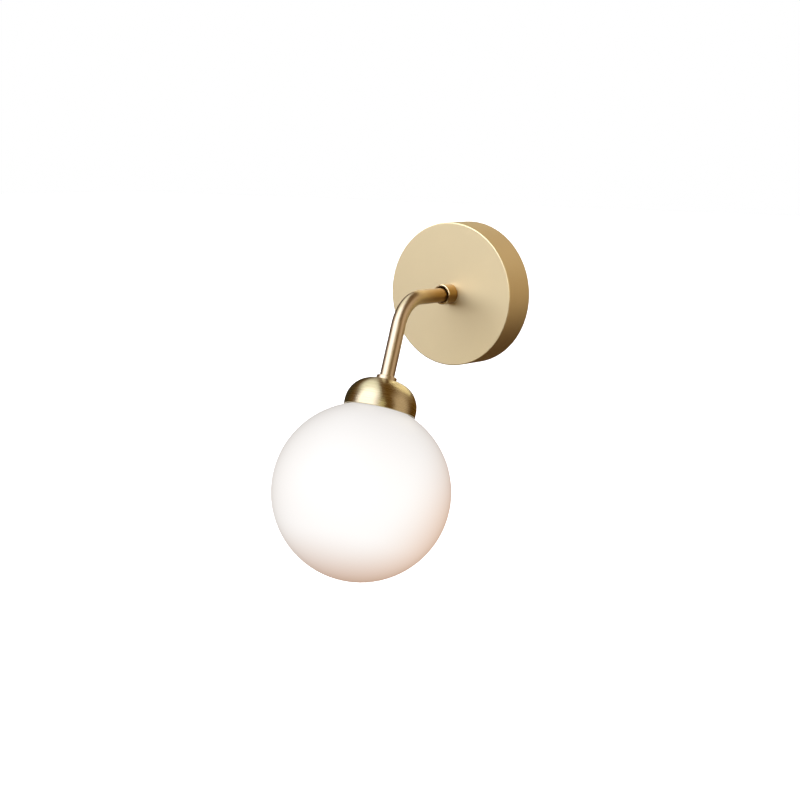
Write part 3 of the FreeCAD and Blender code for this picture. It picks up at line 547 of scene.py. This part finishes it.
def profile_mesh(points):
    """The profile as bare points: x is the radius, z the height, and along the length walked."""
    mesh = bpy.data.meshes.new("Profile")
    mesh.from_pydata([(point.x, 0, point.y) for point in points], [], [])
    along = mesh.attributes.new("along", "FLOAT", "POINT")
    walked = 0.0
    for index, point in enumerate(points):
        walked += (point - points[index - 1]).length if index else 0.0
        along.data[index].value = walked
    return mesh


def start_tree(name, inputs):
    """A node tree with named inputs and one piece as output: its graph and its inputs' values."""
    tree = bpy.data.node_groups.new(name, "GeometryNodeTree")
    for key, kind in inputs.items():
        tree.interface.new_socket(key, in_out="INPUT", socket_type="NodeSocket" + kind)
    tree.interface.new_socket("Piece", in_out="OUTPUT", socket_type="NodeSocketGeometry")
    graph = Graph(tree)
    start = graph.add("NodeGroupInput")
    return graph, [start.output(key) for key in inputs]


def end_tree(graph, geometry, finish):
    """End a tree with smooth shading, real geometry and its finish."""
    smooth = graph.add("GeometryNodeSetShadeSmooth", values={"Geometry": geometry})
    real = graph.add("GeometryNodeRealizeInstances", values={"Geometry": smooth})
    done = graph.add("GeometryNodeSetMaterial", values={"Geometry": real, "Material": finish})
    end = graph.tree.nodes.new("NodeGroupOutput")
    graph.put(end.inputs[0], done)
    return graph.tree


def turning_tree():
    """Geometry Nodes that turn a profile round the z axis and map the turn and the length."""
    graph, (profile, steps, finish) = start_tree("Turned Piece", {
        "Profile": "Geometry", "Steps": "Int", "Finish": "Material"})
    count = graph.add("GeometryNodeAttributeDomainSize", {"component": "MESH"}, (profile,))
    grid = graph.add("GeometryNodeMeshGrid", values=(1.0, 1.0, count, steps + 1))
    row, turn, _ = graph.separate(graph.add("GeometryNodeInputPosition"))
    turn = turn + 0.5
    index = ((row + 0.5) * (count - 1)).math("ROUND")
    point = graph.add("GeometryNodeSampleIndex", {"data_type": "FLOAT_VECTOR"},
                      (profile, graph.add("GeometryNodeInputPosition"), index))
    walked = graph.add("GeometryNodeInputNamedAttribute", {"data_type": "FLOAT"},
                       {"Name": "along"})
    along = graph.add("GeometryNodeSampleIndex", {"data_type": "FLOAT"}, (profile, walked, index))
    radius, _, height = graph.separate(point)
    angle = turn * math.tau
    mapped = graph.add(
        "GeometryNodeStoreNamedAttribute", {"data_type": "FLOAT2", "domain": "CORNER"},
        {"Geometry": grid, "Name": "Turned", "Value": graph.combine(turn, along, 0.0)})
    where = graph.combine(radius * angle.math("COSINE"), radius * angle.math("SINE"), height)
    turned = graph.add("GeometryNodeSetPosition", values={"Geometry": mapped, "Position": where})
    merged = graph.add("GeometryNodeMergeByDistance",
                       values={"Geometry": turned, "Distance": 1e-6})
    return end_tree(graph, merged, finish)


def sweep_tree():
    """Geometry Nodes that bend a round tube along a route, drawn thinner under its end threads."""
    graph, (route, radius, bend, first, last, depth, finish) = start_tree("Bent Tube", {
        "Route": "Geometry", "Radius": "Float", "Bend Radius": "Float", "First Thread": "Float",
        "Last Thread": "Float", "Thread Depth": "Float", "Finish": "Material"})
    line = graph.add("GeometryNodeMeshToCurve", values=(route,))
    bent = graph.add("GeometryNodeFilletCurve", {"mode": "POLY"},
                     {"Curve": line, "Count": 240, "Radius": bend})
    even = graph.add("GeometryNodeResampleCurve", {"mode": "LENGTH"},
                     {"Curve": bent, "Length": 0.5 * MM})
    factor = graph.add("GeometryNodeSplineParameter")
    length = factor.output("Length")
    rest = length / factor.math("MAXIMUM", 1e-6) * (1 - factor)
    threaded = (length < first).math("MAXIMUM", rest < last)
    ring = graph.add("GeometryNodeCurvePrimitiveCircle", {"mode": "RADIUS"},
                     {"Resolution": 64, "Radius": 1.0})
    tube = graph.add("GeometryNodeCurveToMesh", values={
        "Curve": even, "Profile Curve": ring, "Scale": radius - threaded * depth})
    return end_tree(graph, tube, finish)


def thread_tree():
    """Geometry Nodes that wind a thread's ridge round the z axis."""
    graph, (_, radius, ridge, pitch, length, finish) = start_tree("Thread", {
        "Seed": "Geometry", "Radius": "Float", "Ridge": "Float", "Pitch": "Float",
        "Length": "Float", "Finish": "Material"})
    middle = radius - ridge
    spiral = graph.add("GeometryNodeCurveSpiral", values={
        "Resolution": 48, "Rotations": length / pitch, "Start Radius": middle,
        "End Radius": middle, "Height": length})
    section = graph.add("GeometryNodeCurvePrimitiveCircle", {"mode": "RADIUS"},
                        {"Resolution": 6, "Radius": ridge})
    wound = graph.add("GeometryNodeCurveToMesh",
                      values={"Curve": spiral, "Profile Curve": section, "Fill Caps": True})
    return end_tree(graph, wound, finish)


def grown(tree, base, inputs):
    """The plain mesh that a tree makes from a base mesh.

    The tree's inputs are set by their sockets' identifiers.
    """
    obj = bpy.data.objects.new("Blank", base)
    bpy.context.scene.collection.objects.link(obj)
    modifier = obj.modifiers.new("Form", "NODES")
    modifier.node_group = tree
    sockets = {item.name: item.identifier for item in tree.interface.items_tree
               if item.in_out == "INPUT"}
    for name, value in inputs.items():
        modifier[sockets[name]] = value
    depsgraph = bpy.context.evaluated_depsgraph_get()
    mesh = bpy.data.meshes.new_from_object(
        obj.evaluated_get(depsgraph), preserve_all_data_layers=True, depsgraph=depsgraph)
    bpy.data.objects.remove(obj)
    if not mesh.polygons:
        raise RuntimeError(f"the tree {tree.name} made no faces")
    return mesh


def finished_piece(name, mesh, body, replaces=()):
    """Clean a mesh that is already in place, and let its object ride on a CAD body."""
    work = bmesh.new()
    work.from_mesh(mesh)
    bmesh.ops.remove_doubles(work, verts=work.verts, dist=WELD)
    bmesh.ops.recalc_face_normals(work, faces=work.faces)
    work.to_mesh(mesh)
    work.free()
    mesh.polygons.foreach_set("use_smooth", [True] * len(mesh.polygons))
    mesh.set_sharp_from_angle(angle=SHARP_EDGE)
    mesh.name = name
    obj = bpy.data.objects.new(name, mesh)
    bpy.context.scene.collection.objects.link(obj)
    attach(obj, body)
    if replaces:
        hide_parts(*replaces)


def dress(material, *nodes):
    """Give carried-over CAD nodes their finish."""
    for node in nodes:
        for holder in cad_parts[node].material_slots:
            holder.material = material


# Operators

class PieceMaker:
    """What the sconce's operators share."""
    bl_options = {"REGISTER", "UNDO"}

    def finish(self, name, maker, *arguments, **settings):
        """A finish made once and shared by its pieces."""
        return bpy.data.materials.get(name) or maker(name, *arguments, **settings)


class SCONCE_OT_canopy(PieceMaker, bpy.types.Operator):
    """Turn the wall canopy and dress its collar"""
    bl_idname = "sconce.canopy"
    bl_label = "Canopy and Collar"

    def execute(self, context):
        sizes, colours = context.scene.sconce_sizes, context.scene.sconce_colours
        brass = self.finish("Canopy brass", satin_metal, colours.canopy_brass,
                            roughness=0.5, cloudiness=0.3)
        hole, outer, depth = sizes.canopy_hole, sizes.canopy_radius, sizes.canopy_depth
        inner, floor = outer - sizes.canopy_wall, depth - sizes.canopy_front
        hole_edge, wall_edge, inner_corner = 0.15 * MM, 0.2 * MM, 1 * MM
        profile = profile_mesh(rounded_profile([
            (hole, depth, hole_edge), (outer, depth, sizes.canopy_edge), (outer, 0, wall_edge),
            (inner, 0, wall_edge), (inner, floor, inner_corner), (hole, floor, 0)]))
        mesh = grown(turning_tree(), profile, {"Steps": sizes.turn_steps, "Finish": brass})
        mesh.transform(wall_frame())
        finished_piece("canopy_cup", mesh, "canopy", ["canopy"])
        lip = -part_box("collar")[0].y
        # The collar takes the painted shade colour and is left pale only at its lip.
        dress(self.finish("Collar brass", satin_metal, colours.canopy_brass, colours.painted_shade_brass,
                          fade=(lip - 0.5 * MM, lip - 0.1 * MM), roughness=0.22), "collar")
        dress(self.finish("Zinc plated steel", zinc_plate, colours.zinc), "collar_grub_screw")
        return {"FINISHED"}


class SCONCE_OT_arm(PieceMaker, bpy.types.Operator):
    """Bend the arm tube and wind the threads on its ends"""
    bl_idname = "sconce.arm"
    bl_label = "Arm"

    def execute(self, context):
        sizes, colours = context.scene.sconce_sizes, context.scene.sconce_colours
        # The arm is darkened by painted shade near the wall, fading out between 42 and 84 mm from
        # it.
        brass = self.finish("Satin brass", satin_metal, colours.satin_brass, colours.painted_shade_brass,
                            fade=(42 * MM, 84 * MM))
        head = head_frame(sizes)
        ends = [Vector((0, -sizes.arm_start, 0)), Vector((0, -sizes.arm_reach, 0)),
                head @ Vector((0, 0, sizes.arm_end))]
        route = bpy.data.meshes.new("Arm Route")
        route.from_pydata(ends, [(0, 1), (1, 2)], [])
        ridge, sunk = 0.3 * MM, 0.02 * MM
        wall_thread, cap_thread = 11 * MM, sizes.arm_end - sizes.cap_top + 1 * MM
        tube = grown(sweep_tree(), route, {
            "Radius": sizes.arm_radius, "Bend Radius": sizes.arm_bend, "First Thread": wall_thread,
            "Last Thread": cap_thread, "Thread Depth": 2 * ridge, "Finish": brass})
        tube = thickened(tube, sizes.arm_wall)
        finished_piece("arm", tube, "root", ["arm_tube"])
        blank = bpy.data.meshes.new("Thread Blank")
        blank.from_pydata([(0, 0, 0)], [], [])
        tree = thread_tree()
        for name, length, where in (
                ("arm_wall_thread", wall_thread,
                 wall_frame() @ Matrix.Translation((0, 0, sizes.arm_start))),
                ("arm_cap_thread", cap_thread - ridge,
                 head @ Matrix.Translation((0, 0, sizes.arm_end - cap_thread + ridge)))):
            thread = grown(tree, blank, {
                "Radius": sizes.arm_radius - sunk, "Ridge": ridge, "Pitch": sizes.thread_pitch,
                "Length": length - ridge, "Finish": brass})
            thread.transform(where)
            finished_piece(name, thread, "root")
        return {"FINISHED"}


def thickened(mesh, wall):
    """Give an open tube its wall, inwards."""
    work = bmesh.new()
    work.from_mesh(mesh)
    bmesh.ops.recalc_face_normals(work, faces=work.faces)
    work.to_mesh(mesh)
    work.free()
    obj = bpy.data.objects.new("Tube Blank", mesh)
    bpy.context.scene.collection.objects.link(obj)
    shell = obj.modifiers.new("Wall", "SOLIDIFY")
    shell.thickness = wall
    shell.offset = -1
    depsgraph = bpy.context.evaluated_depsgraph_get()
    walled = bpy.data.meshes.new_from_object(obj.evaluated_get(depsgraph), depsgraph=depsgraph)
    bpy.data.objects.remove(obj)
    return walled


class SCONCE_OT_cap(PieceMaker, bpy.types.Operator):
    """Turn the brushed cap and dress its ring"""
    bl_idname = "sconce.cap"
    bl_label = "Cap and Ring"

    def execute(self, context):
        sizes, colours = context.scene.sconce_sizes, context.scene.sconce_colours
        brass = self.finish("Brushed brass", brushed_brass, colours.brushed_brass)
        top, rim, radius = sizes.cap_top, sizes.cap_rim, sizes.cap_radius
        wall, curve, play = sizes.cap_wall, sizes.cap_curve, 0.1 * MM
        inner, hole = radius - wall, sizes.arm_radius + play
        outer_edge, inner_edge = 0.3 * MM, 0.2 * MM
        profile = profile_mesh(rounded_profile([
            (hole, top, 0), (radius, top, curve), (radius, rim, outer_edge),
            (inner, rim, inner_edge), (inner, top + wall, curve - wall), (hole, top + wall, 0)]))
        mesh = grown(turning_tree(), profile, {"Steps": sizes.turn_steps, "Finish": brass})
        mesh.transform(head_frame(sizes))
        finished_piece("cap", mesh, "root", ["dome_cap"])
        dress(self.finish("Ring brass", satin_metal, colours.satin_brass), "cap_ring")
        return {"FINISHED"}


class SCONCE_OT_globe(PieceMaker, bpy.types.Operator):
    """Blow the opal globe and dress its seal"""
    bl_idname = "sconce.globe"
    bl_label = "Globe and Seal"

    def execute(self, context):
        sizes, colours = context.scene.sconce_sizes, context.scene.sconce_colours
        glass = self.finish("Lit opal glass", lit_opal, colours,
                            context.scene.sconce_studio.lamp_strength, sizes)
        centre, outer, neck = sizes.globe_centre, sizes.globe_radius, sizes.neck_radius
        inner, bore = outer - sizes.globe_wall, neck - sizes.globe_wall
        top, lip = sizes.neck_top, 0.8 * MM
        slant = 0.25 * lip
        points = [Vector((bore + lip, top)), Vector((neck - lip, top)),
                  Vector((neck - slant, top + slant)), Vector((neck, top + lip))]
        points += sphere_arc(centre, outer, neck)
        points += reversed(sphere_arc(centre, inner, bore))
        points += [Vector((bore, top + lip)), Vector((bore + slant, top + slant)), points[0]]
        mesh = grown(turning_tree(), profile_mesh(points),
                     {"Steps": sizes.turn_steps, "Finish": glass})
        mesh.transform(head_frame(sizes))
        finished_piece("globe", mesh, "globe", ["glass_globe"])
        dress(self.finish("Seal rubber", moulded, (0.05, 0.05, 0.05), roughness=0.6), "neck_seal")
        return {"FINISHED"}


def sphere_arc(centre, radius, neck):
    """Profile points down a sphere from its neck to its lowest point."""
    start = math.asin(neck / radius)
    steps = 90
    angles = [start + (math.pi - start) * step / steps for step in range(steps + 1)]
    return [Vector((abs(radius * math.sin(angle)), centre - radius * math.cos(angle)))
            for angle in angles]


class SCONCE_OT_wall_side(PieceMaker, bpy.types.Operator):
    """Dress the wall plate, bridge, nuts, washers and rivets"""
    bl_idname = "sconce.wall_side"
    bl_label = "Wall Side"

    def execute(self, context):
        colours = context.scene.sconce_colours
        dress(self.finish("Zinc plated steel", zinc_plate, colours.zinc),
              "wall_plate", "arm_bridge", "bridge_rivets", "arm_star_washer", "earth_washer",
              "arm_lock_nuts")
        dress(self.finish("Plain brass", turned_metal, colours.plain_brass), "earth_screw")
        dress(self.finish("Tinned copper", turned_metal, (0.72, 0.68, 0.62), roughness=0.35),
              "earth_ring_tags", "arm_earth_tag")
        return {"FINISHED"}


class SCONCE_OT_terminals(PieceMaker, bpy.types.Operator):
    """Dress the terminal block, its barrels, its screws and the leads"""
    bl_idname = "sconce.terminals"
    bl_label = "Terminals and Leads"

    def execute(self, context):
        colours = context.scene.sconce_colours
        dress(self.finish("White nylon", moulded, (0.8, 0.79, 0.74), roughness=0.5),
              "terminal_block")
        dress(self.finish("Plain brass", turned_metal, colours.plain_brass), "terminal_barrels",
              "terminal_screws")
        dress(self.finish("Zinc plated steel", zinc_plate, colours.zinc), "terminal_fixing_screws")
        dress(self.finish("Brown silicone", moulded, (0.13, 0.05, 0.025), roughness=0.45),
              "live_lead")
        dress(self.finish("Blue silicone", moulded, (0.02, 0.08, 0.32), roughness=0.45),
              "neutral_lead")
        green, yellow = (0.03, 0.22, 0.05), (0.75, 0.6, 0.04)
        dress(self.finish("Green and yellow sheath", striped_lead, green, yellow),
              "earth_lead", "arm_earth_lead")
        dress(self.finish("Black bush plastic", moulded, (0.02, 0.02, 0.021), roughness=0.4),
              "wall_end_bush", "lamp_end_bush")
        return {"FINISHED"}


class SCONCE_OT_lamp(PieceMaker, bpy.types.Operator):
    """Dress the gallery, strap, lampholder and lamp"""
    bl_idname = "sconce.lamp"
    bl_label = "Lampholder and Lamp"

    def execute(self, context):
        colours = context.scene.sconce_colours
        dress(self.finish("Zinc plated steel", zinc_plate, colours.zinc), "glass_gallery",
              "lampholder_strap", "cap_star_washer", "lampholder_screws", "cap_lock_nut",
              "gallery_lock_nut")
        dress(self.finish("Glazed ceramic", moulded, (0.83, 0.81, 0.76),
                          roughness=0.35, coat=0.4), "lampholder", "lampholder_cover")
        dress(self.finish("Contact bronze", turned_metal, (0.6, 0.36, 0.2), roughness=0.35),
              "lampholder_contacts")
        dress(self.finish("Lamp pin metal", turned_metal, (0.66, 0.64, 0.6), roughness=0.25),
              "lamp_pins")
        dress(self.finish("White lamp plastic", moulded, (0.86, 0.86, 0.84), roughness=0.4),
              "lamp_base")
        dress(self.finish("Frosted lamp cover", frosted_lamp), "lamp_cover")
        dress(self.finish("White board", moulded, (0.85, 0.86, 0.84), roughness=0.35, coat=0.3),
              "lamp_board")
        dress(self.finish("Yellow phosphor", moulded, (0.85, 0.62, 0.08), roughness=0.3, coat=0.5),
              "lamp_chips")
        return {"FINISHED"}


class SCONCE_OT_stage(bpy.types.Operator):
    """Set the floor, the soft studio light and the camera"""
    bl_idname = "sconce.stage"
    bl_label = "Stage"
    bl_options = {"REGISTER", "UNDO"}

    def execute(self, context):
        studio = context.scene.sconce_studio
        context.scene.view_settings.view_transform = "Standard"
        self.camera(context.scene, studio)
        self.surroundings(context.scene, studio)
        self.floor(context.scene, studio)
        return {"FINISHED"}

    def camera(self, scene, studio):
        """A camera at the photograph's angle."""
        azimuth, elevation = studio.azimuth, studio.elevation
        back = Vector((math.sin(azimuth) * math.cos(elevation),
                       -math.cos(azimuth) * math.cos(elevation), math.sin(elevation)))
        right = Vector((math.cos(azimuth), math.sin(azimuth), 0))
        up = back.cross(right)
        data = bpy.data.cameras.new("Camera")
        data.lens = studio.focal_length
        data.sensor_width = 36
        data.clip_start, data.clip_end = 0.05, 60.0
        camera = bpy.data.objects.new("Camera", data)
        scene.collection.objects.link(camera)
        roll = Matrix.Rotation(studio.roll, 3, back)
        turned = Matrix((roll @ right, roll @ up, back)).transposed().to_4x4()
        middle = Vector((0, -0.06, 0))
        aim = middle + right * studio.aim_right + up * studio.aim_up
        turned.translation = aim + back * studio.distance
        camera.matrix_world = turned
        scene.camera = camera

    def surroundings(self, scene, studio):
        """Soft boxes round the sconce for what it reflects, and plain white behind it."""
        world = bpy.data.worlds.new("Studio")
        world.use_nodes = True
        scene.world = world
        graph = Graph(world.node_tree)
        x, y, z = graph.separate(graph.add("ShaderNodeTexCoord", output="Generated"))
        # angles of a direction: over the horizon, and round the z axis from straight out or in
        height = z.math("ARCSINE")
        front = x.math("ARCTAN2", 0 - y)
        rear = (0 - x).math("ARCTAN2", y)

        def rise(angle, low, high):
            """0 below an angle in degrees and 1 above another."""
            return graph.smooth(angle, math.radians(low), math.radians(high))

        def band(angle, low, high, soft_low, soft_high):
            """1 between two angles in degrees, fading over a soft edge at each."""
            return (rise(angle, low - soft_low, low + soft_low)
                    * (1 - rise(angle, high - soft_high, high + soft_high)))

        above = rise(height, -40, 5)
        low_glow = band(front, 30.5, 49.5, 9, 5.5) * band(height, 2.5, 17, 4.5, 5)
        right = band(front, 84.5, 134, 9.5, 17.5) * band(height, -25, 39, 25, 11)
        behind = band(rear, -62.5, 43.5, 12.5, 23) * band(height, 25, 42.5, 21, 21)
        left_flag = band(front, -148, -84.5, 8, 14.5) * band(height, -22.5, 28, 22.5, 10)
        over = band(front, -138, 38, 9, 5) * rise(height, 34, 52)
        key = band(front, -51, 25, 11, 17) * band(height, 5, 69, 7, 14)
        light = graph.mix(above, (0.045, 0.016, 0.004), (0.17, 0.08, 0.01))
        light = graph.mix(low_glow, light, (2.98, 2.92, 1.8))
        light = graph.mix(right, light, tinted((1.0, 0.78, 0.6), studio.fill_strength))
        light = graph.mix(behind, light, (0.88, 0.7, 0.57))
        light = graph.mix(left_flag, light, (0.06, 0.045, 0.02))
        light = graph.mix(over, light, (1.4, 1.47, 1.46))
        light = graph.mix(key, light, tinted((1.0, 1.01, 1.24), studio.key_strength))
        shining = graph.add("ShaderNodeBackground", values=(light, 1.0))
        white = graph.add("ShaderNodeBackground", values=((1, 1, 1), 1.0))
        seen = graph.add("ShaderNodeLightPath", output="Is Camera Ray")
        mixed = graph.add("ShaderNodeMixShader", values=(seen, shining, white))
        graph.put(world.node_tree.nodes["World Output"].inputs["Surface"], mixed)

    def floor(self, scene, studio):
        """A pale floor far below, as bright as what is behind it."""
        material, graph, shader = new_finish("Pale floor")
        cloud = graph.noise(place(graph), scale=0.8)
        set_sockets(graph, shader, {
            "Base Color": graph.mix(cloud, (0.9, 0.9, 0.9), (0.94, 0.94, 0.94)),
            "Roughness": 0.9,
            "Emission Color": (1, 1, 1),
            "Emission Strength": 0.95,
        })
        mesh = bpy.data.meshes.new("Floor")
        side = 30
        corners = [(-side, -side), (side, -side), (side, side), (-side, side)]
        mesh.from_pydata([(x, y, -studio.floor_depth) for x, y in corners], [], [(0, 1, 2, 3)])
        mesh.materials.append(material)
        floor = bpy.data.objects.new("Floor", mesh)
        floor.visible_glossy = False
        floor.visible_diffuse = False
        scene.collection.objects.link(floor)


class SCONCE_PT_panel(bpy.types.Panel):
    """Lists the sconce's operators and settings in the sidebar"""
    bl_label = "Sconce"
    bl_space_type = "VIEW_3D"
    bl_region_type = "UI"
    bl_category = "Sconce"

    def draw(self, context):
        for maker in OPERATORS:
            self.layout.operator(maker.bl_idname)
        for name in SETTINGS:
            group = getattr(context.scene, name)
            box = self.layout.box()
            for key in group.bl_rna.properties.keys():
                if key not in ("rna_type", "name"):
                    box.prop(group, key)


OPERATORS = (SCONCE_OT_stage, SCONCE_OT_canopy, SCONCE_OT_arm, SCONCE_OT_cap, SCONCE_OT_globe,
             SCONCE_OT_wall_side, SCONCE_OT_terminals, SCONCE_OT_lamp)
SETTINGS = {"sconce_sizes": SconceSizes, "sconce_colours": SconceColours,
            "sconce_studio": SconceStudio}


def register():
    for kind in (*SETTINGS.values(), *OPERATORS, SCONCE_PT_panel):
        bpy.utils.register_class(kind)
    for name, kind in SETTINGS.items():
        setattr(bpy.types.Scene, name, PointerProperty(type=kind))


def unregister():
    for name in SETTINGS:
        delattr(bpy.types.Scene, name)
    for kind in reversed((*SETTINGS.values(), *OPERATORS, SCONCE_PT_panel)):
        bpy.utils.unregister_class(kind)


def main():
    """Make every piece and the stage in order."""
    register()
    bpy.ops.sconce.stage()
    bpy.ops.sconce.canopy()
    bpy.ops.sconce.arm()
    bpy.ops.sconce.cap()
    bpy.ops.sconce.globe()
    bpy.ops.sconce.wall_side()
    bpy.ops.sconce.terminals()
    bpy.ops.sconce.lamp()


if __name__ == "__main__":
    main()
